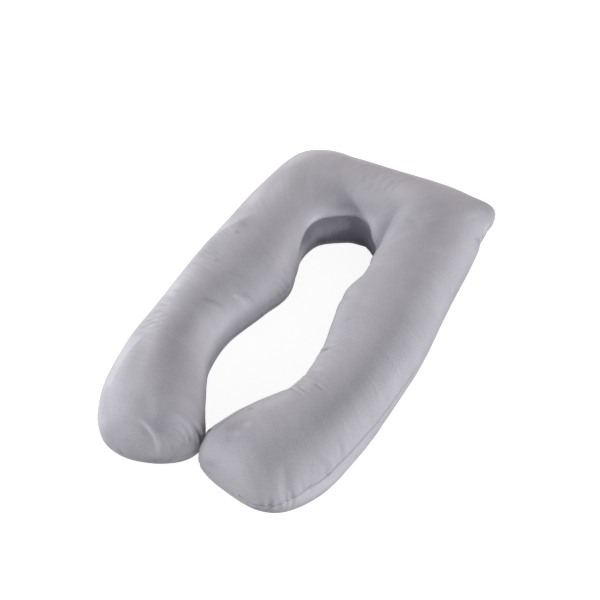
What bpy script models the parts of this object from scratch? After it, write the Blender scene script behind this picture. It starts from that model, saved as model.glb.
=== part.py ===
"""A U-shaped body pillow, lying flat on its back with its feet towards -Y.

The cover is an upper and a lower panel joined by one side seam, and the filled
form is one solid. It is lofted through cross-sections that follow each other
round the U, from the end of the left foot, over the head, to the end of the
right foot. Sizes are in metres, +Z is up, and the surface it lies on is z = 0.
"""

import math
from collections import namedtuple

import bmesh
import bpy
from mathutils import Vector

CROWN_HEIGHT = 0.180  # top of a well filled stretch above the surface
SEAM_HEIGHT = 0.085  # the side seam lies a little under half way up
SETTLING = 0.004  # how far the filling would bulge below the surface it lies on
UPPER_FULLNESS = 2.2  # 2 is an ellipse, and more is squarer
LOWER_FULLNESS = 2.5

SEAM_DEPTH = 0.004  # how far the seam is drawn in
SEAM_EDGE = math.radians(5)  # where the panels start to turn in to the seam
PANEL_STEPS = 13  # facets across each panel, between the edges of its seams
STATION_GAP = 0.022  # distance between two rings, measured along the middle
FINE_STEPS = 24  # curve samples from one section to the next
FOLD_ONSET = 0.35  # share of the way up from the seam over which a fold comes in
FOLD_STEEPNESS = 2  # how fast a fold dies away to its width

# A section runs from the seam inside the U to the seam outside it. Fill is its
# height as a share of the crown height, and 0 at a foot's end seam.
Section = namedtuple("Section", "place inner_x inner_y outer_x outer_y fill")
SECTIONS = (
    Section("left foot, end seam", -0.085, -0.645, -0.140, -0.650, 0.00),
    Section("left foot, rounding off", -0.050, -0.610, -0.185, -0.650, 0.55),
    Section("left foot, broad end", -0.010, -0.545, -0.240, -0.635, 0.90),
    Section("left foot", -0.045, -0.470, -0.280, -0.585, 1.00),
    Section("left ankle", -0.070, -0.425, -0.315, -0.500, 1.00),
    Section("left belly, low", -0.120, -0.315, -0.340, -0.350, 0.98),
    Section("left belly", -0.130, -0.180, -0.345, -0.190, 0.98),
    Section("left waist, low", -0.095, -0.050, -0.355, -0.025, 1.00),
    Section("left waist", -0.070, 0.045, -0.355, 0.155, 1.02),
    Section("left shoulder", -0.090, 0.130, -0.350, 0.355, 1.00),
    Section("left shoulder, high", -0.100, 0.200, -0.335, 0.520, 1.00),
    Section("left corner", -0.100, 0.240, -0.305, 0.615, 0.98),
    Section("left of the head", -0.080, 0.275, -0.230, 0.660, 0.98),
    Section("head, left", -0.030, 0.335, -0.135, 0.655, 0.98),
    Section("head, middle", 0.000, 0.345, 0.000, 0.650, 0.98),
    Section("head, right", 0.035, 0.335, 0.120, 0.650, 0.98),
    Section("right of the head", 0.075, 0.290, 0.235, 0.640, 0.98),
    Section("right corner", 0.085, 0.245, 0.330, 0.610, 0.98),
    Section("right shoulder, high", 0.095, 0.200, 0.335, 0.515, 1.00),
    Section("right shoulder", 0.095, 0.130, 0.345, 0.350, 1.00),
    Section("right waist", 0.080, 0.055, 0.350, 0.165, 1.02),
    Section("right waist, low", 0.100, -0.060, 0.360, -0.025, 1.00),
    Section("right belly", 0.120, -0.180, 0.355, -0.190, 0.98),
    Section("right belly, low", 0.110, -0.315, 0.345, -0.350, 0.98),
    Section("right ankle", 0.045, -0.420, 0.320, -0.500, 1.00),
    Section("right foot", 0.020, -0.465, 0.290, -0.575, 1.00),
    Section("right foot, broad end", -0.005, -0.540, 0.250, -0.625, 0.90),
    Section("right foot, rounding off", 0.010, -0.600, 0.200, -0.650, 0.55),
    Section("right foot, end seam", 0.045, -0.620, 0.150, -0.650, 0.00),
)

# A fold is a trough in the upper panel that starts deep and fades to its end.
# Width is from its middle to where it has all but gone. A negative depth is a ridge.
Fold = namedtuple("Fold", "place start_x start_y end_x end_y width depth")
FOLDS = (
    Fold("mitre, right of the head", 0.095, 0.210, 0.120, 0.430, 0.030, 0.013),
    Fold("mitre, left of the head", -0.015, 0.320, -0.110, 0.480, 0.034, 0.015),
    Fold("tuck at the left waist", -0.070, 0.050, -0.150, 0.090, 0.020, 0.007),
    Fold("tuck at the right waist", 0.080, 0.045, 0.145, 0.010, 0.018, 0.005),
    Fold("bend of the right leg, upper", 0.120, -0.270, 0.200, -0.285, 0.016, 0.004),
    Fold("bend of the right leg, lower", 0.110, -0.340, 0.190, -0.330, 0.018, 0.005),
    Fold("bend of the left leg", -0.125, -0.260, -0.200, -0.240, 0.024, 0.005),
    Fold("right head corner", 0.345, 0.480, 0.265, 0.440, 0.020, 0.010),
    Fold("hollow above the foot crease", -0.090, -0.665, -0.170, -0.530, 0.022, 0.007),
    Fold("left foot crease", -0.065, -0.640, -0.150, -0.520, 0.016, -0.004),
    Fold("left foot, inside", -0.005, -0.560, -0.085, -0.500, 0.018, 0.006),
    Fold("right foot, outside", 0.260, -0.640, 0.215, -0.560, 0.018, 0.004),
)

VELVET_GREY = (0.42, 0.41, 0.45, 1.0)
VELVET_ROUGHNESS = 0.8


def sizes_of(section):
    """The section's numbers as a list, ready to be blended."""
    return [float(size) for size in section[1:]]


def turned_under(section):
    """A section mirrored below the seam. Past an end seam it makes the foot round off into it."""
    *ends, fill = sizes_of(section)
    return [*ends, -fill]


def smooth_blend(before, start, end, after, t):
    """A Catmull-Rom curve's value at t, from 0 at start to 1 at end."""
    return [
        0.5
        * (
            2 * p1
            + (p2 - p0) * t
            + (2 * p0 - 5 * p1 + 4 * p2 - p3) * t**2
            + (3 * p1 - p0 - 3 * p2 + p3) * t**3
        )
        for p0, p1, p2, p3 in zip(before, start, end, after)
    ]


def travel(one, other):
    """How far apart two sections are: the mean way of their ends, and the change in height."""
    inner_x, inner_y, outer_x, outer_y, fill = (b - a for a, b in zip(one, other))
    along = (math.hypot(inner_x, inner_y) + math.hypot(outer_x, outer_y)) / 2
    return math.hypot(along, fill * CROWN_HEIGHT / 2)


def stations():
    """Evenly spaced sections all round the U, read from a smooth curve through the table."""
    rows = [sizes_of(section) for section in SECTIONS]
    rows = [turned_under(SECTIONS[1])] + rows + [turned_under(SECTIONS[-2])]
    fine = []
    for before, start, end, after in zip(rows, rows[1:], rows[2:], rows[3:]):
        fine += [
            smooth_blend(before, start, end, after, step / FINE_STEPS)
            for step in range(FINE_STEPS)
        ]
    fine.append(rows[-2])

    reached = [0.0]
    for one, other in zip(fine, fine[1:]):
        reached.append(reached[-1] + travel(one, other))
    count = round(reached[-1] / STATION_GAP)
    chosen = []
    here = 0
    for number in range(count + 1):
        goal = reached[-1] * number / count
        while here < len(reached) - 2 and reached[here + 1] < goal:
            here += 1
        share = (goal - reached[here]) / (reached[here + 1] - reached[here])
        chosen.append([a + (b - a) * share for a, b in zip(fine[here], fine[here + 1])])
    return chosen


def ring_angles():
    """Angles round a section, from the outer seam over the top to the inner seam and back below."""
    reach = math.pi - 2 * SEAM_EDGE
    panel = [SEAM_EDGE + reach * step / PANEL_STEPS for step in range(PANEL_STEPS + 1)]
    return [0.0, *panel, math.pi, *(math.pi + angle for angle in panel)]


def signed_power(value, power):
    return math.copysign(abs(value) ** power, value)


def fold_depth(place):
    """How deep the folds press the upper panel in at a place in plan."""
    depth = 0.0
    for fold in FOLDS:
        start = Vector((fold.start_x, fold.start_y))
        run = Vector((fold.end_x, fold.end_y)) - start
        along = min(max((place - start).dot(run) / run.length_squared, 0), 1)
        aside = (place - start - run * along).length / fold.width
        depth += fold.depth * (1 - along**2) * math.exp(-FOLD_STEEPNESS * aside**2)
    return depth


def ring_of(sizes, angles):
    """The points of one section's outline."""
    inner = Vector((sizes[0], sizes[1], SEAM_HEIGHT))
    outer = Vector((sizes[2], sizes[3], SEAM_HEIGHT))
    middle = (inner + outer) / 2
    fill = max(0.0, sizes[4])
    points = []
    for angle in angles:
        upper = math.sin(angle) >= 0
        power = 2 / (UPPER_FULLNESS if upper else LOWER_FULLNESS)
        across = signed_power(math.cos(angle), power)
        lift = abs(math.sin(angle)) ** power * fill
        point = middle + (outer - inner) * across / 2
        if upper:
            point.z += (CROWN_HEIGHT - SEAM_HEIGHT) * lift
        else:
            point.z = max(0.0, point.z - (SEAM_HEIGHT + SETTLING) * lift)
        inward = (middle - point).normalized()
        if upper:
            point += inward * fold_depth(point.xy) * min(1.0, lift / FOLD_ONSET)
        if angle in (0.0, math.pi):
            point += inward * SEAM_DEPTH
        points.append(point)
    return points


def end_seam(shape, sizes, angles):
    """The ring at a foot's end, pressed flat to a line that both panels share."""
    half = len(angles) // 2
    upper = [shape.verts.new(point) for point in ring_of(sizes, angles[: half + 1])]
    return upper + upper[-2:0:-1]


def pillow_mesh():
    """The filled cover as one closed mesh, with its origin under the middle of its box."""
    angles = ring_angles()
    first, *between, last = stations()
    shape = bmesh.new()
    rings = [
        end_seam(shape, first, angles),
        *([shape.verts.new(point) for point in ring_of(sizes, angles)] for sizes in between),
        end_seam(shape, last, angles),
    ]
    for ring, other in zip(rings, rings[1:]):
        for corner, after in zip(range(-1, len(angles) - 1), range(len(angles))):
            shape.faces.new((ring[corner], ring[after], other[after], other[corner]))
    bmesh.ops.recalc_face_normals(shape, faces=shape.faces)

    places = [vert.co for vert in shape.verts]
    middle_x, middle_y = (
        (min(place[axis] for place in places) + max(place[axis] for place in places)) / 2
        for axis in (0, 1)
    )
    bmesh.ops.translate(shape, vec=(-middle_x, -middle_y, 0.0), verts=shape.verts)
    mesh = bpy.data.meshes.new("pillow")
    shape.to_mesh(mesh)
    shape.free()
    mesh.shade_smooth()
    return mesh


def velvet():
    """The grey crystal velvet of both panels."""
    material = bpy.data.materials.new("velvet")
    material.use_nodes = True
    shader = material.node_tree.nodes["Principled BSDF"]
    shader.inputs["Base Color"].default_value = VELVET_GREY
    shader.inputs["Roughness"].default_value = VELVET_ROUGHNESS
    shader.inputs["Metallic"].default_value = 0.0
    return material


def main():
    for old in list(bpy.data.objects):
        bpy.data.objects.remove(old, do_unlink=True)
    group = bpy.data.collections.new("body_pillow")
    bpy.context.scene.collection.children.link(group)
    pillow = bpy.data.objects.new("pillow", pillow_mesh())
    pillow.data.materials.append(velvet())
    group.objects.link(pillow)


main()
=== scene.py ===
"""The looks of a U-shaped body pillow in grey short-pile velvet.

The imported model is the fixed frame. The cover is a fine loft round nearly the
same sections as the solid. It is puffed out as cloth, drawn in and puckered at
its side seam, and its creases are pressed in one by one.

A place on the cover has two numbers. Along is how far round the U it is, in
metres from the left foot's end seam. Around is its angle in the section, in
degrees: 0 at the outer seam, 90 at the crown and 180 at the inner seam.
"""

import math
from collections import namedtuple

import bpy
import numpy as np
from bpy.props import FloatProperty, FloatVectorProperty, IntProperty, PointerProperty
from mathutils import Matrix, Vector, noise


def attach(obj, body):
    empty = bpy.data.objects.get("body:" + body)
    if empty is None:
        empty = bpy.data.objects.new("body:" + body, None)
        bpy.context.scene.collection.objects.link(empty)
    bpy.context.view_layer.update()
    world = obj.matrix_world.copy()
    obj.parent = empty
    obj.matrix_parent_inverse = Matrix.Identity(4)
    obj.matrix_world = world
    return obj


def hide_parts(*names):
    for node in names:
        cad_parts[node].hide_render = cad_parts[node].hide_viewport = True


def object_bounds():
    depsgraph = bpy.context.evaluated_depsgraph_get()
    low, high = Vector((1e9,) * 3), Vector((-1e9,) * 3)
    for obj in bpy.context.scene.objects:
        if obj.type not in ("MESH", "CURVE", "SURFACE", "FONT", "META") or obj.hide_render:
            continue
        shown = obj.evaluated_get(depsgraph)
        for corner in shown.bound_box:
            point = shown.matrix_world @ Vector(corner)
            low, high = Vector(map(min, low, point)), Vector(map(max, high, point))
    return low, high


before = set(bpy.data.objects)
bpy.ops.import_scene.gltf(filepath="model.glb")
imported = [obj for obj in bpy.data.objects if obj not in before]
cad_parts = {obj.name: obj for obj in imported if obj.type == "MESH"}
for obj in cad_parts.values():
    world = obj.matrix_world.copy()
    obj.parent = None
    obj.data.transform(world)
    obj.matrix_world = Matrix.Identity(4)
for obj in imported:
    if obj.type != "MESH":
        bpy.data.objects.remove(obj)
CAD_LOW, CAD_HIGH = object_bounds()

bl_info = {
    "name": "Body pillow",
    "version": (1, 0, 0),
    "blender": (4, 5, 0),
    "location": "3D View > Sidebar > Pillow",
    "description": "Makes a filled U-shaped body pillow in grey velvet, with its stage",
    "category": "Add Mesh",
}

# Nearly the same sections as the solid, from the seam inside the U to the seam outside it.
# Fill is the height as a share of the crown height, and 0 at a foot's end seam.
Section = namedtuple("Section", "place inner_x inner_y outer_x outer_y fill")
SECTIONS = (
    Section("left foot, end seam", -0.085, -0.645, -0.140, -0.650, 0.00),
    Section("left foot, rounding off", -0.050, -0.610, -0.185, -0.650, 0.55),
    Section("left foot, broad end", -0.010, -0.545, -0.240, -0.635, 0.90),
    Section("left foot", -0.045, -0.470, -0.280, -0.585, 1.00),
    Section("left ankle", -0.070, -0.425, -0.315, -0.500, 1.00),
    Section("left belly, low", -0.120, -0.315, -0.340, -0.350, 0.98),
    Section("left belly", -0.130, -0.180, -0.345, -0.190, 0.98),
    Section("left waist, low", -0.095, -0.050, -0.355, -0.025, 1.00),
    Section("left waist", -0.070, 0.045, -0.355, 0.155, 1.02),
    Section("left shoulder", -0.090, 0.130, -0.350, 0.355, 1.00),
    Section("left shoulder, high", -0.100, 0.200, -0.335, 0.520, 1.00),
    Section("left corner", -0.100, 0.240, -0.305, 0.615, 0.98),
    Section("left of the head", -0.088, 0.286, -0.230, 0.660, 0.98),
    Section("head, left", -0.030, 0.335, -0.135, 0.655, 0.98),
    Section("head, middle", 0.000, 0.345, 0.000, 0.650, 0.98),
    Section("head, right", 0.035, 0.335, 0.120, 0.650, 0.98),
    Section("right of the head", 0.075, 0.290, 0.235, 0.640, 0.98),
    Section("right corner", 0.085, 0.245, 0.330, 0.610, 0.98),
    Section("right shoulder, high", 0.095, 0.200, 0.335, 0.515, 1.00),
    Section("right shoulder", 0.095, 0.130, 0.345, 0.350, 1.00),
    Section("right waist", 0.080, 0.055, 0.350, 0.165, 1.02),
    Section("right waist, low", 0.100, -0.060, 0.360, -0.025, 1.00),
    Section("right belly", 0.120, -0.180, 0.355, -0.190, 0.98),
    Section("right belly, low", 0.110, -0.315, 0.345, -0.350, 0.98),
    Section("right ankle", 0.045, -0.420, 0.320, -0.500, 1.00),
    Section("right foot", 0.020, -0.465, 0.290, -0.575, 1.00),
    Section("right foot, broad end", -0.005, -0.540, 0.250, -0.625, 0.90),
    Section("right foot, rounding off", 0.010, -0.600, 0.200, -0.650, 0.55),
    Section("right foot, end seam", 0.045, -0.620, 0.150, -0.650, 0.00),
)
UPPER_FULLNESS = 2.2  # 2 is an ellipse, and more is squarer
LOWER_FULLNESS = 2.5
SETTLING = 0.004  # how far the filling would bulge below the surface it lies on
FOLD_ONSET = 0.35  # share of the way up from the seam over which a large fold comes in
FOLD_STEEPNESS = 2  # how fast a fold or crease dies away to its width
FINE_STEPS = 24  # curve samples from one section to the next
UPPER_STEPS = 46  # facets across the upper panel, before the last subdivision
LOWER_STEPS = 26
CROWDING = 0.35  # how much closer the facets are at the seams than at the crown
SEAM_PULL = math.radians(80)  # how far from a seam the facets are drawn along with it

TOUCHING = 0.0005  # what is lower than this rests on the surface
FREE_HEIGHT = 0.012  # above this the surface below no longer holds the cover flat
EVENING_ROUNDS = 90  # more of them leave larger swellings of the puffed cover out
CREASE_STEPS = 15  # points along the line of a small crease
SHOULDER = 0.25  # how far a crease pushes up the cover beside it, as a share of its depth
SHOULDER_PLACE = 1.5  # how far from the middle of the crease that is, in its widths
SHOULDER_STEEPNESS = 4
PAINTED_CREASE_SHADE = 40  # how much painted shade a crease, a gather or the seam groove gets in the pile's tone, for a metre of its depth; a ridge gets as much painted highlight
SMOOTHED = 0.85  # how much of the seam's groove is gone where the cover has closed over it
FAR = 3  # past this many of its widths, a crease or a gather has gone
THROUGH = 0.04  # a crease doesn't reach the other side of the cover, past this distance
OTHER_SEAM = 7.3  # a step in the noise, so that the two seams are gathered differently
LUMP_SIZE = 0.13
SMALL_LUMPS = 2.6  # how many times smaller the second size of lumps is
SMALL_LUMPS_SHARE = 0.35  # how high they are, as a share of the large ones
PLAIN_TONE = 0.228  # of the pile, before its own marks, the painted light and shade and its grain are added
SLANT = 0.35  # how far the streaks of the pile lean from straight across the U
PILE_RELIEF = 0.25  # share of the pile's length that shows as relief
STRAIN_RELIEF = 0.0016  # height of the fine lines where the cover is taut
STITCH_LINE = (0.0005, 0.0026)  # where the dark line of the seam starts to fade, and its edge
LIGHT_WIDTH = 4.4
LIGHT_HEIGHT = 2.8
WARM = (1.0, 0.62, 0.5)  # colour of the light behind the head

# Where the rings stand closer, for the small folds. Extra is how much closer, and
# reach is how far from its middle a stretch goes.
Closer = namedtuple("Closer", "place middle reach extra")
CLOSER = (
    Closer("left foot", 0.08, 0.09, 0.8),
    Closer("left flank", 0.44, 0.04, 0.5),
    Closer("left waist", 0.83, 0.05, 0.4),
    Closer("right head corner", 1.76, 0.08, 0.8),
    Closer("bend of the right leg", 2.40, 0.09, 0.9),
    Closer("right foot", 2.74, 0.12, 1.0),
)

# The large folds, in plan: troughs that start deep and fade to their ends.
# Width is from the middle of one to where it has all but gone. A negative depth is a ridge.
Fold = namedtuple("Fold", "place start_x start_y end_x end_y width depth")
FOLDS = (
    Fold("mitre, right of the head", 0.085, 0.270, 0.125, 0.430, 0.034, 0.008),
    Fold("mitre, left of the head", 0.010, 0.345, -0.110, 0.460, 0.044, 0.008),
    Fold("tuck at the left waist", -0.070, 0.050, -0.150, 0.090, 0.020, 0.007),
    Fold("tuck at the right waist", 0.080, 0.045, 0.145, 0.010, 0.018, 0.005),
    Fold("bend of the right leg, upper", 0.120, -0.270, 0.200, -0.285, 0.016, 0.004),
    Fold("bend of the right leg, lower", 0.110, -0.340, 0.190, -0.330, 0.018, 0.005),
    Fold("bend of the left leg", -0.125, -0.260, -0.200, -0.240, 0.024, 0.005),
    Fold("hollow above the foot crease", -0.090, -0.665, -0.170, -0.530, 0.022, 0.007),
    Fold("left foot crease", -0.065, -0.640, -0.150, -0.520, 0.016, -0.004),
    Fold("left foot, inside", -0.005, -0.560, -0.085, -0.500, 0.018, 0.006),
    Fold("right foot, outside", 0.260, -0.640, 0.215, -0.560, 0.018, 0.004),
)

# A line drawn on the cover from its start to its end, where it has faded out. Left is the
# width on its left side, as seen from above the cover, where that isn't its usual width.
# Onset is the share of its length over which it comes in, so 0 is a line that springs
# from a seam. Bow is how far its middle bends towards the right foot, in metres, and
# arch how far it bends towards the inner seam, in degrees.
Line = namedtuple(
    "Line",
    "place start_along start_around end_along end_around width strength onset left bow arch",
    defaults=(None, 0, 0),
)

# The small creases. Their strength is their depth in metres, and below 0 it is a ridge.
CREASES = (
    Line("left foot, curved ridge", 0.142, 78, 0.030, 160, 0.008, -0.005, 0.20, left=0.005, bow=-0.026),
    Line("left foot, beside it", 0.152, 84, 0.040, 162, 0.006, 0.0024, 0.20, left=0.030, bow=-0.026),
    Line("left foot, inner fold 1", 0.126, 158, 0.156, 112, 0.006, -0.003, 0.10),
    Line("left foot, inner fold 2", 0.107, 170, 0.124, 116, 0.006, -0.003, 0.10),
    Line("left foot, inner gap", 0.117, 166, 0.142, 112, 0.006, 0.0024, 0.10),
    Line("left foot, inner hollow", 0.142, 176, 0.160, 136, 0.008, 0.003, 0),
    Line("left foot, inner fold 3", 0.152, 172, 0.164, 142, 0.005, -0.0035, 0),
    Line("left foot, inner fold 4", 0.134, 176, 0.146, 140, 0.005, -0.003, 0),
    Line("left foot, low fold 1", 0.092, 178, 0.086, 132, 0.006, -0.0025, 0.10, bow=-0.004),
    Line("left foot, low fold 2", 0.072, 174, 0.074, 138, 0.006, 0.0025, 0.05, bow=-0.004),
    Line("left foot, end seam", 0.044, -40, 0.034, -150, 0.006, 0.0025, 0),
    Line("left flank, streak 1", 0.436, 80, 0.424, 60, 0.006, -0.0045, 0.25, left=0.005),
    Line("left flank, streak 2", 0.454, 81, 0.436, 54, 0.006, -0.005, 0.25, left=0.005, bow=0.006),
    Line("left flank, streak 3", 0.474, 78, 0.460, 52, 0.006, -0.0036, 0.25, bow=0.006),
    Line("left flank, streak 4", 0.492, 76, 0.484, 48, 0.007, 0.003, 0.25, bow=0.004),
    Line("left flank, long streak", 0.402, 69, 0.330, 52, 0.016, -0.0016, 0.30, left=0.005),
    Line("left flank, wrinkle 1", 0.516, 72, 0.536, 40, 0.008, 0.0032, 0.25),
    Line("left flank, wrinkle 2", 0.552, 70, 0.568, 36, 0.008, 0.0032, 0.25),
    Line("left flank, wrinkle 3", 0.700, 90, 0.694, 44, 0.007, 0.002, 0.30, bow=0.006),
    Line("left flank, wrinkle 4", 0.722, 84, 0.718, 42, 0.007, 0.002, 0.30, bow=0.006),
    Line("left flank, wrinkle 5", 0.745, 88, 0.742, 42, 0.007, 0.0018, 0.30, bow=0.006),
    Line("left leg, nap line 1", 0.626, 136, 0.646, 172, 0.006, -0.001, 0.30),
    Line("left leg, nap line 2", 0.640, 140, 0.655, 170, 0.006, -0.001, 0.30),
    Line("left waist, fold 1", 0.860, 180, 0.815, 140, 0.010, 0.004, 0),
    Line("left waist, fold 2", 0.830, 182, 0.790, 148, 0.009, 0.003, 0),
    Line("left waist, fold 3", 0.800, 182, 0.765, 152, 0.009, 0.002, 0),
    Line("hole, rim", 1.010, 160, 1.600, 165, 0.008, -0.002, 0.35, left=0.018, arch=-22),
    Line("hole, wall", 1.010, 170, 1.600, 175, 0.050, 0.006, 0.30, left=0.009, arch=-22),
    Line("hole, right wall", 1.610, 176, 1.360, 163, 0.008, 0.008, 0, left=0.040),
    Line("hole, left wall", 1.010, 194, 1.330, 200, 0.040, 0.010, 0.35, left=0.028),
    Line("mitre, left, edge", 1.560, 172, 1.318, 106, 0.020, 0.0035, 0.10, left=0.046, bow=-0.05),
    Line("head, fan 1", 1.395, 104, 1.385, 64, 0.008, 0.0008, 0.30),
    Line("head, fan 2", 1.425, 108, 1.420, 60, 0.008, 0.0009, 0.30),
    Line("head, fan 3", 1.452, 112, 1.450, 60, 0.008, 0.001, 0.30),
    Line("head, fan 4", 1.474, 110, 1.470, 58, 0.007, 0.0014, 0.30),
    Line("head, fan 5", 1.496, 112, 1.492, 62, 0.008, 0.001, 0.30),
    Line("head, crossing line 1", 1.545, 118, 1.594, 97, 0.006, 0.0015, 0.30),
    Line("head, crossing line 2", 1.558, 119, 1.602, 100, 0.006, 0.0012, 0.30),
    Line("mitre, right, edge", 1.640, 168, 1.556, 96, 0.026, 0.003, 0, left=0.036, bow=-0.012),
    Line("mitre, right, tail", 1.610, 114, 1.790, 98, 0.014, 0.002, 0.20),
    Line("right head corner, pulled in", 1.668, -20, 1.790, -6, 0.026, 0.008, 0.20, left=0.032),
    Line("right head corner, tip", 1.676, -20, 1.676, 60, 0.040, -0.005, 0, left=0.010),
    Line("right head corner, ridge", 1.744, 0, 1.752, 18, 0.008, -0.0018, 0.10),
    Line("right head corner, dart", 1.768, 0, 1.764, 22, 0.007, 0.0025, 0.10),
    Line("right head corner, dimple", 1.796, 4, 1.796, 32, 0.009, 0.004, 0.10),
    Line("right head corner, lip", 1.816, 6, 1.816, 22, 0.006, -0.0012, 0.10),
    Line("right leg, dimple", 2.180, 118, 2.184, 132, 0.009, 0.0012, 0.40),
    Line("bend of the right leg, 1", 2.304, 158, 2.292, 112, 0.008, 0.006, 0, bow=0.003),
    Line("bend of the right leg, 2", 2.288, 156, 2.282, 124, 0.007, -0.002, 0),
    Line("bend of the right leg, 3", 2.398, 156, 2.394, 118, 0.007, 0.003, 0),
    Line("bend of the right leg, 4", 2.438, 152, 2.442, 118, 0.006, 0.002, 0),
    Line("bend of the right leg, 5", 2.470, 156, 2.456, 116, 0.007, 0.0055, 0),
    Line("bend of the right leg, 6", 2.466, 134, 2.494, 98, 0.006, 0.0045, 0.15),
    Line("bend of the right leg, 7", 2.480, 138, 2.506, 102, 0.006, 0.0042, 0.15),
    Line("bend of the right leg, 8", 2.446, 112, 2.466, 86, 0.006, 0.003, 0.25),
    Line("right foot, flank 1", 2.560, 18, 2.548, 52, 0.014, 0.003, 0.05, left=0.009, bow=-0.008),
    Line("right foot, flank 2", 2.540, 18, 2.532, 40, 0.007, -0.0015, 0.10),
    Line("right foot, flank 3", 2.610, 14, 2.616, 50, 0.014, 0.003, 0.05, left=0.008, bow=-0.01),
    Line("right foot, flank 4", 2.588, 14, 2.584, 44, 0.010, -0.0018, 0.10),
    Line("right foot, end fold 1", 2.796, 158, 2.770, 124, 0.007, 0.0008, 0.10),
    Line("right foot, end fold 2", 2.816, 150, 2.790, 112, 0.007, -0.0008, 0.10),
    Line("right foot, end fold 3", 2.836, 140, 2.806, 104, 0.008, 0.0009, 0.15),
    Line("right foot, flank 5", 2.668, 10, 2.664, 34, 0.009, 0.0015, 0.05),
)

# Gathers across the outer and the inner seam, where the sewing has pulled the cover
# together. Reach is how far one runs into each panel.
Gather = namedtuple("Gather", "place seam along width reach depth")
GATHERS = (
    Gather("left foot, notch 1", "inner", 0.030, 0.007, 0.016, 0.0030),
    Gather("left foot, notch 2", "inner", 0.072, 0.008, 0.020, 0.0025),
    Gather("left foot, notch 3", "outer", 0.060, 0.007, 0.018, 0.0040),
    Gather("left foot, notch 4", "outer", 0.110, 0.007, 0.014, 0.0018),
    Gather("right head corner, notch 1", "outer", 1.714, 0.006, 0.012, 0.0012),
    Gather("right head corner, notch 2", "outer", 1.770, 0.008, 0.016, 0.0012),
    Gather("right leg, notch", "outer", 1.960, 0.007, 0.014, 0.0015),
    Gather("right foot, notch 1", "outer", 2.606, 0.006, 0.014, 0.0020),
    Gather("right foot, notch 2", "outer", 2.648, 0.006, 0.016, 0.0020),
    Gather("right foot, notch 3", "outer", 2.700, 0.007, 0.022, 0.0040),
    Gather("right foot, notch 4", "outer", 2.716, 0.006, 0.018, 0.0030),
    Gather("right foot, notch 5", "outer", 2.738, 0.006, 0.016, 0.0022),
    Gather("right foot, notch 6", "outer", 2.762, 0.008, 0.026, 0.0060),
    Gather("right foot, notch 7", "outer", 2.786, 0.007, 0.018, 0.0030),
    Gather("right foot, notch 8", "inner", 2.800, 0.007, 0.016, 0.0015),
    Gather("right foot, notch 9", "inner", 2.776, 0.007, 0.014, 0.0010),
)

# How far the outer and the inner seam climb above the widest line of the section, in
# degrees. At the feet they turn under, and at the head the inner one is the hole's rim.
Climb = namedtuple("Climb", "along outer inner")
SEAM_CLIMB = (
    Climb(0.00, 0, 0),
    Climb(0.02, -38, -38),
    Climb(0.05, -38, -32),
    Climb(0.10, -22, -16),
    Climb(0.16, -8, -6),
    Climb(0.25, 0, 0),
    Climb(0.96, 0, 1),
    Climb(1.02, 0, 10),
    Climb(1.12, 0, 21),
    Climb(1.20, 0, 28),
    Climb(1.30, 0, 31),
    Climb(1.42, 0, 25),
    Climb(1.50, 0, 18),
    Climb(1.60, 0, 8),
    Climb(1.70, 0, 3),
    Climb(1.85, 0, 0),
    Climb(2.20, 0, 0),
    Climb(2.40, 8, 0),
    Climb(2.47, 12, 0),
    Climb(2.58, 14, 0),
    Climb(2.61, 11, 0),
    Climb(2.65, 11, 0),
    Climb(2.71, 3, 0),
    Climb(2.76, -6, -5),
    Climb(2.80, -14, -14),
    Climb(2.83, -36, -34),
    Climb(2.88, -38, -38),
    Climb(2.91, 0, 0),
)

# Where the cover has closed over the stitching, so that it is nearly smooth there.
Closed = namedtuple("Closed", "place seam along reach")
CLOSED = (
    Closed("left foot, end", "outer", 0.02, 0.10),
    Closed("left foot, end", "inner", 0.04, 0.10),
    Closed("left leg, inside", "inner", 0.60, 0.30),
    Closed("rim of the hole", "inner", 1.36, 0.40),
    Closed("right foot, end", "inner", 2.90, 0.06),
    Closed("right foot, end", "outer", 2.90, 0.06),
)

# A soft oval patch of the cover. Length is its reach along the U in metres, and girth
# its reach round the section in degrees.
Patch = namedtuple("Patch", "place along around length girth strength")
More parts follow.
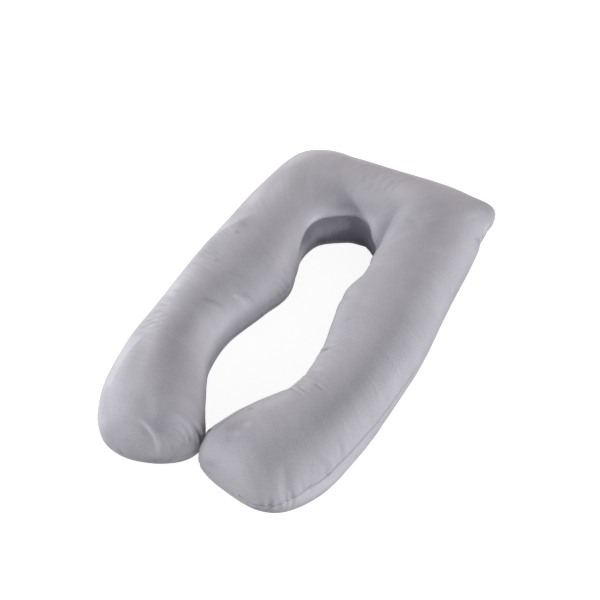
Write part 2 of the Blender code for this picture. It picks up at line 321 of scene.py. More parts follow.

# Patches where the pile's tone is paler above 0 and darker below 0. Most are painted light: painted shade
# on the crowns, round the V at the head, in the bend of the right leg and on the right head corner, and
# painted highlights and sheen on the flanks, beside the hole and on the middle of the head. The small
# marks, the smudges and the step on the left leg are the pile's own marks.
NAP_MARKS_AND_PAINTED_LIGHT = (
    Patch("left foot, flank", 0.20, 36, 0.06, 12, -0.25),
    Patch("left foot, inside the ridge", 0.10, 132, 0.03, 24, -0.12),
    Patch("left leg, crown", 0.40, 104, 0.34, 16, -0.29),
    Patch("left leg, above the flank", 0.33, 80, 0.14, 8, 0.22),
    Patch("left leg, lower flank", 0.32, 46, 0.09, 13, 0.15),
    Patch("left leg, streaks", 0.45, 70, 0.05, 10, 0.35),
    Patch("left leg, middle flank", 0.60, 52, 0.07, 15, 0.38),
    Patch("left leg, dull flank", 0.76, 52, 0.06, 15, -0.25),
    Patch("left leg, inner slope", 0.46, 158, 0.20, 12, 0.32),
    Patch("left leg, nap step", 0.47, 136, 0.06, 14, 0.15),
    Patch("left leg, dull inner slope", 0.69, 136, 0.10, 14, -0.15),
    Patch("left leg, upper crown", 0.85, 102, 0.14, 14, -0.15),
    Patch("left leg, small mark 1", 0.722, 80, 0.006, 3, -0.38),
    Patch("left leg, small mark 2", 0.842, 74, 0.007, 3, -0.38),
    Patch("left leg, smudge", 0.880, 72, 0.022, 9, -0.35),
    Patch("left waist, pale", 0.89, 138, 0.06, 12, 0.28),
    Patch("left shoulder, low streak", 0.98, 54, 0.05, 13, 0.38),
    Patch("left shoulder, high streak", 1.06, 76, 0.06, 10, 0.22),
    Patch("left shoulder, far flank", 1.18, 52, 0.06, 15, 0.45),
    Patch("beside the hole", 1.22, 142, 0.07, 10, 0.35),
    Patch("head, left of the V", 1.29, 112, 0.06, 22, -0.20),
    Patch("head, below the V", 1.33, 138, 0.05, 10, -0.28),
    Patch("head, right of the V", 1.45, 134, 0.08, 14, -0.30),
    Patch("head, middle", 1.52, 92, 0.07, 15, 0.35),
    Patch("head, near the right leg", 1.59, 115, 0.03, 14, 0.25),
    Patch("head, far edge", 1.42, 62, 0.16, 10, -0.10),
    Patch("right shoulder, crown", 1.72, 88, 0.16, 12, -0.26),
    Patch("right head corner, edge", 1.68, 28, 0.05, 20, -0.40),
    Patch("right head corner, under the edge", 1.708, -6, 0.020, 10, 0.10),
    Patch("right head corner, pale edge", 1.748, 8, 0.020, 7, 0.35),
    Patch("right head corner, dimple", 1.796, 12, 0.016, 9, -0.22),
    Patch("right leg, upper slope", 2.05, 106, 0.16, 12, 0.15),
    Patch("right leg, crown", 2.15, 72, 0.30, 12, -0.12),
    Patch("right leg, dull flank", 2.30, 46, 0.10, 10, -0.15),
    Patch("right leg, low crown", 2.50, 72, 0.22, 16, -0.28),
    Patch("right leg, under the bend", 2.55, 118, 0.06, 10, 0.20),
    Patch("right leg, bend", 2.302, 146, 0.012, 9, -0.40),
    Patch("right leg, small mark", 2.180, 124, 0.007, 4, -0.15),
    Patch("right foot, crown", 2.70, 52, 0.10, 20, -0.15),
    Patch("right foot, end", 2.81, 128, 0.03, 34, -0.20),
    Patch("right foot, inner slope", 2.73, 124, 0.06, 20, -0.30),
    Patch("right foot, small mark", 2.622, 128, 0.006, 3, -0.55),
    Patch("right foot, smudge 1", 2.690, 116, 0.026, 8, -0.12),
    Patch("right foot, smudge 2", 2.672, 108, 0.012, 4, 0.25),
    Patch("right foot, smudge 3", 2.700, 105, 0.012, 4, 0.22),
    Patch("right foot, smudge 4", 2.730, 108, 0.012, 6, -0.20),
    Patch("right flank, below the seam", 2.62, 0, 0.16, 9, 0.35),
)

# Lines of pile tone with an edge, in the same tones: painted shade on the hole's walls, on one side of
# each mitre and inside the left foot's ridge, painted highlights along that ridge and on the pale edges of
# the left flank and shoulder, dark lines along the inner edges of the right foot and the right waist, and
# the pile's own stripes and smudge lines.
PILE_STROKES_AND_PAINTED_LIGHT = (
    # Painted shade inside the left foot's ridge and a painted highlight along it
    Line("left foot, inside the ridge", 0.144, 80, 0.032, 160, 0.004, -0.16, 0.20, left=0.050, bow=-0.026),
    Line("left foot, along the ridge", 0.138, 78, 0.028, 160, 0.007, 0.35, 0.25, left=0.004, bow=-0.026),
    Line("left flank, pale edge", 0.236, 44, 0.402, 66, 0.004, 0.24, 0.15, left=0.040, arch=-4),
    Line("left leg, dark stripe", 0.570, 100, 0.592, 142, 0.012, -0.35, 0.30, left=0.010),
    Line("left leg, pale stripe", 0.640, 126, 0.656, 172, 0.012, 0.35, 0.20, left=0.006, bow=0.004),
    Line("left leg, second stripe", 0.666, 136, 0.680, 174, 0.006, -0.30, 0.20, left=0.008, bow=0.004),
    Line("left leg, thin stripe", 0.690, 92, 0.706, 130, 0.006, -0.18, 0.30, left=0.005, bow=0.006),
    Line("left shoulder, pale edge", 0.806, 36, 0.970, 84, 0.005, 0.35, 0.15, left=0.050, bow=-0.01),
    # Painted shade on the hole's wall and low wall
    Line("hole, wall", 1.010, 169, 1.620, 176, 0.080, -0.90, 0.25, left=0.005, arch=-22),
    Line("hole, low wall", 1.640, 180, 1.100, 186, 0.028, -1.10, 0.10, left=0.045),
    # Painted shade on one side of each mitre
    Line("mitre, left", 1.570, 172, 1.316, 106, 0.008, -0.34, 0.02, left=0.050, bow=-0.045),
    Line("mitre, right", 1.640, 168, 1.556, 100, 0.005, -0.35, 0.05, left=0.036, bow=-0.012),
    Line("right foot, inner edge", 2.745, 136, 2.480, 140, 0.004, -0.45, 0.15),
    Line("right foot, smudge line 1", 2.664, 118, 2.704, 100, 0.006, -0.14, 0.30, left=0.005),
    Line("right foot, smudge line 2", 2.684, 130, 2.724, 112, 0.006, -0.12, 0.30),
    Line("right waist, edge", 1.985, 170, 2.100, 168, 0.006, -0.50, 0.10, left=0.004),
)

# Where fine lines show that the cover is taut.
TAUT = (
    Patch("left flank, low", 0.46, 58, 0.14, 22, 1.0),
    Patch("left flank", 0.74, 60, 0.18, 26, 0.8),
    Patch("left shoulder", 1.06, 70, 0.12, 30, 0.5),
    Patch("head", 1.45, 84, 0.11, 30, 0.8),
    Patch("right shoulder", 1.90, 60, 0.14, 26, 0.4),
    Patch("right leg, flank", 2.30, 50, 0.20, 24, 0.6),
    Patch("right leg, inner slope", 2.38, 128, 0.10, 22, 0.5),
    Patch("right foot, flank", 2.60, 30, 0.10, 20, 0.3),
    Patch("left foot, inner slope", 0.12, 145, 0.06, 30, 0.6),
)


class CoverSettings(bpy.types.PropertyGroup):
    """Sizes of the velvet cover."""

    crown_height: FloatProperty(
        name="Crown height",
        description="Top of a well filled stretch above the surface",
        default=0.180,
        unit="LENGTH",
    )
    seam_height: FloatProperty(
        name="Seam height",
        description="Height of the side seam above the surface",
        default=0.085,
        unit="LENGTH",
    )
    rings: IntProperty(
        name="Rings",
        description="Rings of facets round the U, before the last subdivision",
        default=345,
    )
    slack: FloatProperty(
        name="Slack",
        description="How much smaller the cover starts before it is puffed out",
        default=0.003,
        unit="LENGTH",
    )
    pressure: FloatProperty(
        name="Pressure",
        description="How hard the filling presses the cover out",
        default=4.0,
    )
    settling_frames: IntProperty(
        name="Settling frames",
        description="How long the cover is given to puff out",
        default=20,
    )
    most_travel: FloatProperty(
        name="Most travel",
        description="The furthest that puffing out may move any point",
        default=0.005,
        unit="LENGTH",
    )
    puffing_kept: FloatProperty(
        name="Puffing kept",
        description="Share of the small swellings and folds from the puffing out that is kept",
        default=0.2,
        min=0.0,
        max=1.0,
    )
    unevenness: FloatProperty(
        name="Unevenness",
        description="Height of the soft lumps of the filling",
        default=0.0016,
        unit="LENGTH",
    )


class SeamSettings(bpy.types.PropertyGroup):
    """The side seam and the small gathers along it."""

    depth: FloatProperty(
        name="Depth",
        description="How far the seam is drawn in",
        default=0.0028,
        unit="LENGTH",
    )
    width: FloatProperty(
        name="Width",
        description="From the stitch line to where the cover is full again",
        default=0.0045,
        unit="LENGTH",
    )
    gather_depth: FloatProperty(
        name="Gather depth",
        description="Height of the fine gathers that the stitching leaves all along the seam",
        default=0.0005,
        unit="LENGTH",
    )
    gather_pitch: FloatProperty(
        name="Gather pitch",
        description="Mean distance between two fine gathers",
        default=0.020,
        unit="LENGTH",
    )
    gather_reach: FloatProperty(
        name="Gather reach",
        description="How far the fine gathers run into the panels",
        default=0.020,
        unit="LENGTH",
    )


class VelvetSettings(bpy.types.PropertyGroup):
    """Colour and sheen of the velvet."""

    # Dark end of the pile's tone, which is also the colour of the painted shade
    upright_pile_and_painted_shade: FloatVectorProperty(
        name="Upright pile",
        description="The pile where it stands up and one looks into it",
        subtype="COLOR",
        size=3,
        min=0.0,
        max=1.0,
        default=(0.173, 0.168, 0.202),
    )
    # Pale end of the pile's tone, which is also the colour of the painted highlights and sheen
    brushed_pile_and_painted_light: FloatVectorProperty(
        name="Brushed pile",
        description="The pile where it lies over and shows its side",
        subtype="COLOR",
        size=3,
        min=0.0,
        max=1.0,
        default=(0.60, 0.588, 0.638),
    )
    sheen: FloatProperty(
        name="Sheen",
        description="Strength of the pale sheen where the pile turns away",
        default=0.35,
        min=0.0,
        max=1.0,
    )
    roughness: FloatProperty(
        name="Roughness",
        description="How dull the pile is",
        default=0.8,
        min=0.0,
        max=1.0,
    )
    pile_length: FloatProperty(
        name="Pile length",
        description="Depth of the short pile",
        default=0.0012,
        unit="LENGTH",
    )


class StageSettings(bpy.types.PropertyGroup):
    """The camera's place and the lights."""

    azimuth: FloatProperty(
        name="Azimuth",
        description="Camera angle round the pillow, 0 when it looks from the feet",
        default=math.radians(25.1),
        subtype="ANGLE",
    )
    elevation: FloatProperty(
        name="Elevation",
        description="Camera angle above the floor",
        default=math.radians(41.8),
        subtype="ANGLE",
    )
    roll: FloatProperty(
        name="Roll",
        description="Turn of the camera about its own line of sight",
        default=math.radians(1.25),
        subtype="ANGLE",
    )
    distance: FloatProperty(
        name="Distance",
        description="From the camera to the point it looks at",
        default=3.04,
        unit="LENGTH",
    )
    target: FloatVectorProperty(
        name="Target",
        description="The point that the camera looks at",
        subtype="TRANSLATION",
        size=3,
        default=(-0.023, 0.002, 0.09),
    )
    focal_length: FloatProperty(
        name="Focal length",
        description="Of the lens, in millimetres on a 36 mm sensor",
        default=67.1,
    )
    daylight: FloatProperty(
        name="Daylight",
        description="Strength of the even light from all round",
        default=0.1,
    )
    left_power: FloatProperty(
        name="Left power",
        description="Strength of the large low light on the left",
        default=415.0,
        unit="POWER",
    )
    right_power: FloatProperty(
        name="Right power",
        description="Strength of the large low light on the right",
        default=245.0,
        unit="POWER",
    )
    front_power: FloatProperty(
        name="Front power",
        description="Strength of the weak low light in front",
        default=160.0,
        unit="POWER",
    )
    back_power: FloatProperty(
        name="Back power",
        description="Strength of the faint warm light behind the head",
        default=40.0,
        unit="POWER",
    )
    floor_glow: FloatProperty(
        name="Floor glow",
        description="How much the white floor shines by itself, which keeps the shadows on it pale",
        default=0.9,
    )


def sizes_of(section):
    return np.array(section[1:], float)


def bump_at(values, middle, reach):
    """A soft bump over the values: 1 at its middle and near 0 past its reach."""
    return np.exp(-(((values - middle) / reach) ** 2))


def stations(cover):
    """Sections all round the U, as in the solid but closer together, and where each is along it."""
    rows = np.array([sizes_of(section) for section in SECTIONS])
    turned_under = np.array((1, 1, 1, 1, -1))
    rows = np.vstack((rows[1] * turned_under, rows, rows[-2] * turned_under))
    t = np.arange(FINE_STEPS)[:, None] / FINE_STEPS
    fine = []
    for p0, p1, p2, p3 in zip(rows, rows[1:], rows[2:], rows[3:]):
        fine.append(
            0.5
            * (
                2 * p1
                + (p2 - p0) * t
                + (2 * p0 - 5 * p1 + 4 * p2 - p3) * t**2
                + (3 * p1 - p0 - 3 * p2 + p3) * t**3
            )
        )
    fine = np.vstack((*fine, rows[-2]))
    step = np.diff(fine, axis=0)
    ends = (np.hypot(step[:, 0], step[:, 1]) + np.hypot(step[:, 2], step[:, 3])) / 2
    rise = step[:, 4] * cover.crown_height / 2
    run = np.concatenate(([0.0], np.cumsum(np.hypot(ends, rise))))
    middle = (run[1:] + run[:-1]) / 2
    closeness = 1 + sum(item.extra * bump_at(middle, item.middle, item.reach) for item in CLOSER)
    paced = np.concatenate(([0.0], np.cumsum(np.diff(run) * closeness)))
    goals = np.linspace(0.0, paced[-1], cover.rings)
    sizes = np.stack([np.interp(goals, paced, column) for column in fine.T], axis=1)
    return sizes, np.interp(goals, paced, run)


def panel_angles(start, steps):
    """Angles across a panel of half a turn, closer together at its two seams."""
    t = np.arange(steps) / steps
    return start + math.pi * (t - CROWDING * np.sin(2 * math.pi * t) / (2 * math.pi))


def ring_angles(runs):
    """Each section's angles, from the outer seam over the top to the inner seam and back below.

    Near both seams they are moved round so that one of them always follows the seam."""
    even = np.concatenate((panel_angles(0.0, UPPER_STEPS), panel_angles(math.pi, LOWER_STEPS)))
    from_outer = np.abs((even + math.pi) % (2 * math.pi) - math.pi)
    from_inner = np.abs(even - math.pi)
    place, outer, inner = zip(*SEAM_CLIMB)
    outer = np.radians(np.interp(runs, place, outer))
    inner = np.radians(np.interp(runs, place, inner))
    near_outer = np.clip(1 - from_outer / SEAM_PULL, 0, 1)
    near_inner = np.clip(1 - from_inner / SEAM_PULL, 0, 1)
    return even + outer[:, None] * near_outer - inner[:, None] * near_inner


def fold_depth(plan):
    """How deep the large folds press the upper panel in, at places in plan."""
    depth = np.zeros(plan.shape[:-1])
    for fold in FOLDS:
        start = np.array((fold.start_x, fold.start_y))
        run = np.array((fold.end_x, fold.end_y)) - start
        along = np.clip((plan - start) @ run / (run @ run), 0, 1)
        aside = np.linalg.norm(plan - start - along[..., None] * run, axis=-1) / fold.width
        depth += fold.depth * (1 - along**2) * np.exp(-FOLD_STEEPNESS * aside**2)
    return depth


def loft(sizes, angles, cover):
    """Points on the cover, for sections and angles of the same length or shape."""
    seam = cover.seam_height
    sizes = sizes[:, None, :]
    height = np.full(sizes.shape[:2], seam)
    inner = np.stack((sizes[..., 0], sizes[..., 1], height), axis=-1)
    outer = np.stack((sizes[..., 2], sizes[..., 3], height), axis=-1)
    middle = (inner + outer) / 2
    fill = np.clip(sizes[..., 4], 0, None)
    upper = np.sin(angles) > -1e-9
    power = 2 / np.where(upper, UPPER_FULLNESS, LOWER_FULLNESS)
    across = np.sign(np.cos(angles)) * np.abs(np.cos(angles)) ** power
    lift = np.abs(np.sin(angles)) ** power * fill
    points = middle + (outer - inner) * across[..., None] / 2
    over = (cover.crown_height - seam) * lift
    under = np.maximum(-(seam + SETTLING) * lift, -seam)
    points[..., 2] += np.where(upper, over, under)
    inward = middle - points
    inward /= np.maximum(np.linalg.norm(inward, axis=-1, keepdims=True), 1e-6)
    pressed = fold_depth(points[..., :2]) * np.clip(lift / FOLD_ONSET, 0, 1) * upper
    return points + inward * pressed[..., None]


def ring_faces(rows, count):
    """Quads between neighbouring rings. At a foot's end both panels share the upper panel's line."""
    half = UPPER_STEPS
    index = np.arange(rows * count).reshape(rows, count)
    ahead = np.roll(index, -1, axis=1)
    quads = np.stack((index[:-1], ahead[:-1], ahead[1:], index[1:]), axis=-1)
    faces = quads[1:-1].reshape(-1, 4).tolist()
    faces += quads[0, :half].tolist() + quads[-1, :half].tolist()
    shared = np.round(np.interp(np.arange(half, count + 1), (half, count), (half, 0))).astype(int)
    for place, high, low in zip(range(half, count), shared, shared[1:]):
        first = index[0, low : high + 1][::-1].tolist()
        faces.append([*first, int(ahead[1, place]), int(index[1, place])])
        last = index[-1, low : high + 1].tolist()
        faces.append([int(index[-2, place]), int(ahead[-2, place]), *last])
    return faces


def to_frame(points):
    """How far the loft moves for its box to stand in the middle of the frame's."""
    flat = points.reshape(-1, 3)
    shift = (np.array(CAD_LOW) + np.array(CAD_HIGH) - flat.min(axis=0) - flat.max(axis=0)) / 2
    return shift * (1, 1, 0)


def girths(points):
    """How far each point is from the outer seam across its own panel, and from the nearer seam."""
    step = np.linalg.norm(np.roll(points, -1, axis=1) - points, axis=-1)
    half = UPPER_STEPS
    start = np.zeros((len(points), 1))
    upper = np.concatenate((start, np.cumsum(step[:, :half], axis=1)), axis=1)
    lower = np.concatenate((start, np.cumsum(step[:, half:][:, ::-1], axis=1)), axis=1)
    to_seam = [np.minimum(panel, panel[:, -1:] - panel) for panel in (upper, lower)]
    lower = lower * upper[:, -1:] / np.maximum(lower[:, -1:], 1e-6)
    return [
        np.concatenate((above, below[:, 1:-1][:, ::-1]), axis=1)
        for above, below in ((upper, lower), to_seam)
    ]


def add_attribute(mesh, name, values):
    layer = mesh.attributes.new(name, "FLOAT", "POINT")
    layer.data.foreach_set("value", np.ascontiguousarray(values, dtype=np.float32))


def read(items, name, size):
    flat = np.empty(len(items) * size, np.float32)
    items.foreach_get(name, flat)
    return flat.reshape(-1, size).astype(float)


def attribute(mesh, name):
    return read(mesh.attributes[name].data, "value", 1)[:, 0]


def coordinates(mesh):
    return read(mesh.vertices, "co", 3)


def normals(mesh):
    return read(mesh.vertex_normals, "vector", 3)


def set_coordinates(mesh, points):
    mesh.vertices.foreach_set("co", points.astype(np.float32).ravel())
    mesh.update()


def add_cover_mesh(cover):
    """The loft as a mesh object, with each point's place on the cover kept as attributes."""
    sizes, runs = stations(cover)
    angles = ring_angles(runs)
    points = loft(sizes, angles, cover)
    points += to_frame(points)
    rows, count = angles.shape
    faces = ring_faces(rows, count)
    used = np.unique(np.concatenate([np.array(face) for face in faces]))
    renumber = np.full(rows * count, -1)
    renumber[used] = np.arange(len(used))
    mesh = bpy.data.meshes.new("pillow_cover")
    placed = points.reshape(-1, 3)[used]
    mesh.from_pydata(placed.tolist(), [], [renumber[face].tolist() for face in faces])
    from_outer, to_seam = girths(points)
    values = {
        "along": np.repeat(runs[:, None], count, axis=1),
        "across": np.cos(angles),
        "lift": np.sin(angles),
        "girth": from_outer,
        "to_seam": to_seam,
    }
    for name, value in values.items():
        add_attribute(mesh, name, value.reshape(-1)[used])
    mesh.update()
    piece = bpy.data.objects.new("pillow_cover", mesh)
    bpy.context.scene.collection.objects.link(piece)
    return piece


def evened_out(mesh, values):
    """The values with all small differences between neighbouring points smoothed away."""
    ends = np.empty(len(mesh.edges) * 2, np.int32)
    mesh.edges.foreach_get("vertices", ends)
    one, other = ends[::2], ends[1::2]
    count = len(mesh.vertices)
    neighbours = np.bincount(one, minlength=count) + np.bincount(other, minlength=count)
    for _ in range(EVENING_ROUNDS):
        around = [
            np.bincount(one, column[other], count) + np.bincount(other, column[one], count)
            for column in values.T
        ]
        values = (values + np.stack(around, axis=1) / neighbours[:, None]) / 2
    return values


def puff_out(piece, cover):
    """Let the filling press the cover out as cloth, and keep the soft small-scale part of that.

    What rests on the surface stays there."""
    mesh = piece.data
    full = coordinates(mesh)
    resting = full[:, 2] < TOUCHING
    start = full - normals(mesh) * cover.slack * ~resting[:, None]
    set_coordinates(mesh, start)
    held = piece.vertex_groups.new(name="resting")
    held.add(np.flatnonzero(resting).tolist(), 1.0, "REPLACE")
    cloth = piece.modifiers.new("puff", "CLOTH")
    settings = cloth.settings
    settings.quality = 5
    settings.mass = 0.3
    settings.tension_stiffness = 25
    settings.compression_stiffness = 25
    settings.shear_stiffness = 15
    settings.bending_stiffness = 1.5
    settings.use_pressure = True
    settings.uniform_pressure_force = cover.pressure
    settings.effector_weights.gravity = 0.0
    settings.vertex_group_mass = held.name
    cloth.point_cache.frame_start = 1
    cloth.point_cache.frame_end = cover.settling_frames
    for number in range(1, cover.settling_frames + 1):
        bpy.context.scene.frame_set(number)
    bpy.ops.object.modifier_apply(modifier=cloth.name)
    bpy.context.scene.frame_set(1)
    travel = coordinates(mesh) - full
    travel -= evened_out(mesh, travel)
    far = np.linalg.norm(travel, axis=1)
    travel *= np.minimum(1, cover.most_travel / np.maximum(far, 1e-9))[:, None]
    travel[resting] = 0
    puffed = full + travel * cover.puffing_kept
    puffed[:, 2] = np.maximum(puffed[:, 2], 0)
    set_coordinates(mesh, puffed)


def smooth_step(value):
    value = np.clip(value, 0, 1)
    return value * value * (3 - 2 * value)


def paths(rows, cover):
    """Each crease or stroke, and the points of its line on the smooth loft."""
    sizes, runs = stations(cover)
    shift = to_frame(loft(sizes, ring_angles(runs), cover))
    t = np.linspace(0, 1, CREASE_STEPS)
    for row in rows:
        along = row.start_along + (row.end_along - row.start_along) * t
        along += row.bow * 4 * t * (1 - t)
        around = row.start_around + (row.end_around - row.start_around) * t
        around += row.arch * 4 * t * (1 - t)
        here = np.stack([np.interp(along, runs, column) for column in sizes.T], axis=1)
        yield row, loft(here, np.radians(around)[:, None], cover)[:, 0] + shift


def set_against(path, spots, facing):
    """Where each spot is along the path, from 0 to 1, and how far it lies from there.

    That is to the left, past an end of the path, and through the cover."""
    run = np.diff(path, axis=0)
    offset = spots[:, None] - path[None, :-1]
    share = np.clip((offset * run).sum(-1) / (run**2).sum(-1), 0, 1)
    gap = offset - share[..., None] * run
    nearest = np.linalg.norm(gap, axis=-1).argmin(1)
    pick = np.arange(len(spots))
    way = run[nearest] / np.linalg.norm(run[nearest], axis=-1, keepdims=True)
    gap = gap[pick, nearest]
    done = (nearest + share[pick, nearest]) / len(run)
    aside = (gap * np.cross(facing, way)).sum(1)
    beyond = (gap * way).sum(1)
    through = np.abs((gap * facing).sum(1))
    return done, aside, beyond, through


def drawn(rows, shoulder, spots, facing, cover):
    """The sum of the creases or strokes at each spot.

    Shoulder is the share of a line's strength that the cover beside it has, with the other sign."""
    total = np.zeros(len(spots))
    for line, path in paths(rows, cover):
        left = line.left or line.width
        reach = FAR * max(left, line.width) + cover.most_travel
        near = (spots > path.min(axis=0) - reach).all(1) & (spots < path.max(axis=0) + reach).all(1)
        near = np.flatnonzero(near)
        done, aside, beyond, through = set_against(path, spots[near], facing[near])
        strength = (1 - done**2) * line.strength
        if line.onset:
            strength *= smooth_step(done / line.onset)
        off = np.sqrt(aside**2 + beyond**2) / np.where(aside > 0, left, line.width)
        beside = np.exp(-SHOULDER_STEEPNESS * (off - SHOULDER_PLACE) ** 2)
        profile = np.exp(-FOLD_STEEPNESS * off**2) - shoulder * beside
        total[near] += strength * profile * (through < THROUGH)
    return total


def gathered(mesh, seam):
    """How deep the seam and the gathers along it press the cover in at each point."""
    along = attribute(mesh, "along")
    to_seam = attribute(mesh, "to_seam")
    outer = attribute(mesh, "across") > 0
    stitched = np.ones(len(along))
    for row in CLOSED:
        on_seam = outer == (row.seam == "outer")
        stitched *= 1 - SMOOTHED * bump_at(along, row.along, row.reach) * on_seam
    add_attribute(mesh, "stitched", stitched)
    depth = seam.depth * bump_at(to_seam, 0, seam.width) * stitched
    close = np.flatnonzero(to_seam < FAR * seam.gather_reach)
    fade = np.exp(-to_seam[close] / seam.gather_reach)
    fine = [
        noise.noise(Vector((here / seam.gather_pitch, OTHER_SEAM * side, 0)))
        for here, side in zip(along[close], outer[close])
    ]
    depth[close] += np.array(fine) * fade * seam.gather_depth
    for gather in GATHERS:
        on_seam = outer == (gather.seam == "outer")
        shape = bump_at(along, gather.along, gather.width) * bump_at(to_seam, 0, gather.reach)
        depth += gather.depth * shape * on_seam
    return depth


def lumpy(spots, cover):
    """Heights of the soft lumps of the filling."""
    large = np.array([noise.noise(Vector(spot) / LUMP_SIZE) for spot in spots])
    small = np.array([noise.noise(Vector(spot) / (LUMP_SIZE / SMALL_LUMPS)) for spot in spots])
    return cover.unevenness * (large + SMALL_LUMPS_SHARE * small)


def shape_cover(mesh, cover, seam):
    """Press the seam, gathers, creases and lumps into the puffed cover, and keep the strokes and the
    painted shade of the creases and gathers as an attribute.
    """
    spots = coordinates(mesh)
    facing = normals(mesh)
    pressed = drawn(CREASES, SHOULDER, spots, facing, cover) + gathered(mesh, seam)
    strokes = drawn(PILE_STROKES_AND_PAINTED_LIGHT, 0, spots, facing, cover)
    # Painted shade in the creases, gathers and seam groove, painted highlights on the ridges, and the
    # strokes with their painted light and shade, all as pile tone
    add_attribute(mesh, "nap_and_painted_light", strokes - PAINTED_CREASE_SHADE * pressed)
    moved = lumpy(spots, cover) - pressed
    free = smooth_step((spots[:, 2] - TOUCHING) / FREE_HEIGHT)
    spots += facing * (moved * free)[:, None]
    spots[:, 2] = np.maximum(spots[:, 2], 0)
    set_coordinates(mesh, spots)


def painted(rows, along, around):
    """The sum of the patches over the cover."""
    total = np.zeros(len(along))
    for row in rows:
        off = np.hypot((along - row.along) / row.length, (around - row.around) / row.girth)
        total += row.strength * np.exp(-(off**2))
    return total


def brush_pile(mesh):
    """Keep the pile's marks with the painted light and shade, and where the cover is taut, as attributes.
    """
    along = attribute(mesh, "along")
    around = np.degrees(np.arctan2(attribute(mesh, "lift"), attribute(mesh, "across")))
    around = np.where(around < -90, around + 360, around)  # the lower panel's inner side
    # The patches add painted shade on the crowns and painted highlights and sheen on the flanks, as well
    # as the pile's own marks
    nap_and_painted_light = attribute(mesh, "nap_and_painted_light") + painted(NAP_MARKS_AND_PAINTED_LIGHT, along, around)
    mesh.attributes["nap_and_painted_light"].data.foreach_set("value", np.clip(nap_and_painted_light, -1, 1).astype(np.float32))
    add_attribute(mesh, "taut", np.clip(painted(TAUT, along, around), 0, 1))


class Wiring:
    """Adds nodes to a material and joins them up."""

    def __init__(self, name):
        self.material = bpy.data.materials.new(name)
        self.material.use_nodes = True
        self.tree = self.material.node_tree
        self.shader = self.tree.nodes["Principled BSDF"]

    def add(self, kind, settings=None, **inputs):
        node = self.tree.nodes.new(kind)
        for name, value in (settings or {}).items():
            setattr(node, name, value)
        for name, value in inputs.items():
            self.feed(node.inputs[name.replace("_", " ")], value)
        return node

    def feed(self, socket, value):
        if isinstance(value, bpy.types.NodeSocket):
            self.tree.links.new(value, socket)
        else:
            socket.default_value = value

    def sum(self, *terms):
        """The sum of value times share over the terms, each a (value, share) pair or a value."""
        total = 0.0
        for term in terms:
            value, share = term if isinstance(term, tuple) else (term, 1.0)
            node = self.tree.nodes.new("ShaderNodeMath")
            node.operation = "MULTIPLY_ADD"
            for socket, item in zip(node.inputs, (value, share, total)):
                self.feed(socket, item)
            total = node.outputs[0]
        return total


def velvet(settings):
    """Grey crystal velvet: short pile with marks here and there and painted light and shade in its tone,
    with lines where it is taut.
    """
    wires = Wiring("grey_velvet")
    along, girth, nap_and_painted_light, taut, to_seam, stitched = (
        wires.add("ShaderNodeAttribute", {"attribute_name": name}).outputs["Fac"]
        for name in ("along", "girth", "nap_and_painted_light", "taut", "to_seam", "stitched")
    )
    slanted = wires.sum(along, (girth, SLANT))
    brushed_way = wires.add("ShaderNodeCombineXYZ", X=slanted, Y=girth).outputs[0]
    spot = wires.add("ShaderNodeTexCoord").outputs["Object"]

    def grain(vector, waves, detail):
        """Noise with so many waves to the metre along each axis."""
        sized = wires.add("ShaderNodeMapping", Vector=vector, Scale=waves).outputs[0]
        texture = wires.add("ShaderNodeTexNoise", Vector=sized, Scale=1.0, Detail=detail)
        return texture.outputs["Fac"]

    patches = grain(spot, (8, 8, 8), 3.0)
    streaks = grain(brushed_way, (30, 9, 1), 3.0)
    pile = grain(spot, (280, 280, 280), 2.0)
    lines = grain(brushed_way, (95, 8, 1), 2.0)
    strained = wires.sum((wires.sum(lines, -0.5), taut))
    line = wires.add(
        "ShaderNodeMapRange",
        {"interpolation_type": "SMOOTHSTEP"},
        Value=to_seam,
        From_Min=STITCH_LINE[0],
        From_Max=STITCH_LINE[1],
        To_Min=1.0,
        To_Max=0.0,
    ).outputs[0]
    seam_line = wires.sum((line, stitched))
    # The pile's tone: its own marks, patches and grain, with the painted light and shade kept on the cover
    tone = wires.sum(
        PLAIN_TONE,
        (nap_and_painted_light, 0.65),
        (patches, 0.24),
        (streaks, 0.15),
        (pile, 0.35),
        (strained, 0.5),
        (seam_line, -0.24),
    )
    clamp = wires.add("ShaderNodeClamp", Value=tone).outputs[0]
    # Dark end for the painted shade and pale end for the painted highlights and sheen, as well as for the
    # pile's own tone
    mix = wires.add("ShaderNodeMix", {"data_type": "RGBA"}, Factor=clamp)
    colours = [socket for socket in mix.inputs if socket.type == "RGBA"]
    colours[0].default_value = (*settings.upright_pile_and_painted_shade, 1.0)
    colours[1].default_value = (*settings.brushed_pile_and_painted_light, 1.0)
    blended = next(socket for socket in mix.outputs if socket.type == "RGBA")
    wires.feed(wires.shader.inputs["Base Color"], blended)

    height = wires.sum((pile, settings.pile_length * PILE_RELIEF), (strained, STRAIN_RELIEF))
    bump = wires.add("ShaderNodeBump", Strength=1.0, Distance=1.0, Height=height)
    wires.feed(wires.shader.inputs["Normal"], bump.outputs[0])
    wires.shader.inputs["Roughness"].default_value = settings.roughness
    wires.shader.inputs["Sheen Weight"].default_value = settings.sheen
    wires.shader.inputs["Sheen Roughness"].default_value = 0.35
    wires.shader.inputs["Sheen Tint"].default_value = (0.95, 0.94, 1.0, 1.0)
    wires.shader.inputs["Specular IOR Level"].default_value = 0.15
    return wires.material


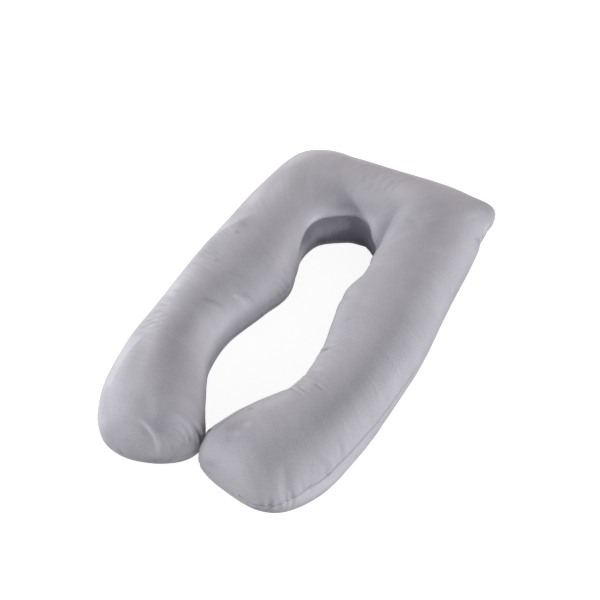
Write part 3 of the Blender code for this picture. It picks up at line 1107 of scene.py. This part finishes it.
class PILLOW_OT_cover(bpy.types.Operator):
    """Make the filled velvet cover"""

    bl_idname = "pillow.cover"
    bl_label = "Cover"

    def execute(self, context):
        cover = context.scene.pillow_cover
        bpy.ops.object.select_all(action="DESELECT")
        piece = add_cover_mesh(cover)
        context.view_layer.objects.active = piece
        piece.select_set(True)
        puff_out(piece, cover)
        finer = piece.modifiers.new("finer", "SUBSURF")
        finer.levels = finer.render_levels = 1
        bpy.ops.object.modifier_apply(modifier=finer.name)
        shape_cover(piece.data, cover, context.scene.pillow_seam)
        brush_pile(piece.data)
        piece.data.shade_smooth()
        piece.data.materials.append(velvet(context.scene.pillow_velvet))
        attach(piece, "root")
        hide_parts("pillow")
        return {"FINISHED"}


def add_floor(stage):
    """A white floor that throws no light back up at the pillow."""
    bpy.ops.mesh.primitive_plane_add(size=40, location=(0, 0, 0))
    floor = bpy.context.object
    floor.name = "floor"
    floor.visible_diffuse = False
    floor.visible_glossy = False
    wires = Wiring("floor_white")
    wires.shader.inputs["Base Color"].default_value = (0.35, 0.35, 0.35, 1)
    wires.shader.inputs["Roughness"].default_value = 1.0
    wires.shader.inputs["Specular IOR Level"].default_value = 0.0
    wires.shader.inputs["Emission Color"].default_value = (1, 1, 1, 1)
    wires.shader.inputs["Emission Strength"].default_value = stage.floor_glow
    floor.data.materials.append(wires.material)


def add_camera(stage):
    azimuth, elevation, roll = stage.azimuth, stage.elevation, stage.roll
    back = Vector(
        (
            math.sin(azimuth) * math.cos(elevation),
            -math.cos(azimuth) * math.cos(elevation),
            math.sin(elevation),
        )
    )
    right = Vector((math.cos(azimuth), math.sin(azimuth), 0.0))
    up = back.cross(right)
    right, up = (
        right * math.cos(roll) + up * math.sin(roll),
        up * math.cos(roll) - right * math.sin(roll),
    )
    camera = bpy.data.objects.new("camera", bpy.data.cameras.new("camera"))
    bpy.context.scene.collection.objects.link(camera)
    turn = Matrix((right, up, back)).transposed().to_4x4()
    place = Vector(stage.target) + back * stage.distance
    camera.matrix_world = Matrix.Translation(place) @ turn
    camera.data.sensor_width = 36
    camera.data.lens = stage.focal_length
    bpy.context.scene.camera = camera


def add_light(name, place, power, colour=(1, 1, 1)):
    """A wide soft light that stands on the floor and faces the pillow."""
    light = bpy.data.objects.new(name, bpy.data.lights.new(name, "AREA"))
    light.data.energy = power
    light.data.color = colour
    light.data.shape = "RECTANGLE"
    light.data.size = LIGHT_WIDTH
    light.data.size_y = LIGHT_HEIGHT
    bpy.context.scene.collection.objects.link(light)
    turn = Vector(place).to_track_quat("Z", "Y").to_matrix().to_4x4()
    light.matrix_world = Matrix.Translation(place) @ turn


class PILLOW_OT_stage(bpy.types.Operator):
    """Set out the floor, the lights and the camera"""

    bl_idname = "pillow.stage"
    bl_label = "Stage"

    def execute(self, context):
        stage = context.scene.pillow_stage
        add_floor(stage)
        add_camera(stage)
        world = context.scene.world or bpy.data.worlds.new("world")
        context.scene.world = world
        world.use_nodes = True
        sky = world.node_tree.nodes["Background"]
        sky.inputs["Color"].default_value = (1, 1, 1, 1)
        sky.inputs["Strength"].default_value = stage.daylight
        add_light("left light", (-4.9, -0.8, 1.5), stage.left_power)
        add_light("right light", (4.6, 1.9, 1.5), stage.right_power)
        add_light("front light", (2.4, -4.3, 1.5), stage.front_power)
        add_light("back light", (-0.8, 4.9, 1.5), stage.back_power, WARM)
        context.scene.view_settings.view_transform = "Standard"
        return {"FINISHED"}


class PILLOW_PT_panel(bpy.types.Panel):
    """Lists the pillow's pieces with their sizes and colours"""

    bl_label = "Body pillow"
    bl_idname = "PILLOW_PT_panel"
    bl_space_type = "VIEW_3D"
    bl_region_type = "UI"
    bl_category = "Pillow"

    def draw(self, context):
        scene = context.scene
        pieces = (
            (PILLOW_OT_cover, (scene.pillow_cover, scene.pillow_seam, scene.pillow_velvet)),
            (PILLOW_OT_stage, (scene.pillow_stage,)),
        )
        for operator, groups in pieces:
            box = self.layout.box()
            box.operator(operator.bl_idname)
            for group in groups:
                for name in type(group).__annotations__:
                    box.prop(group, name)


SETTINGS = {
    "pillow_cover": CoverSettings,
    "pillow_seam": SeamSettings,
    "pillow_velvet": VelvetSettings,
    "pillow_stage": StageSettings,
}
CLASSES = (*SETTINGS.values(), PILLOW_OT_cover, PILLOW_OT_stage, PILLOW_PT_panel)


def register():
    for cls in CLASSES:
        bpy.utils.register_class(cls)
    for name, group in SETTINGS.items():
        setattr(bpy.types.Scene, name, PointerProperty(type=group))


def unregister():
    for name in SETTINGS:
        delattr(bpy.types.Scene, name)
    for cls in reversed(CLASSES):
        bpy.utils.unregister_class(cls)


def main():
    register()
    bpy.ops.pillow.cover()
    bpy.ops.pillow.stage()


if __name__ == "__main__":
    main()
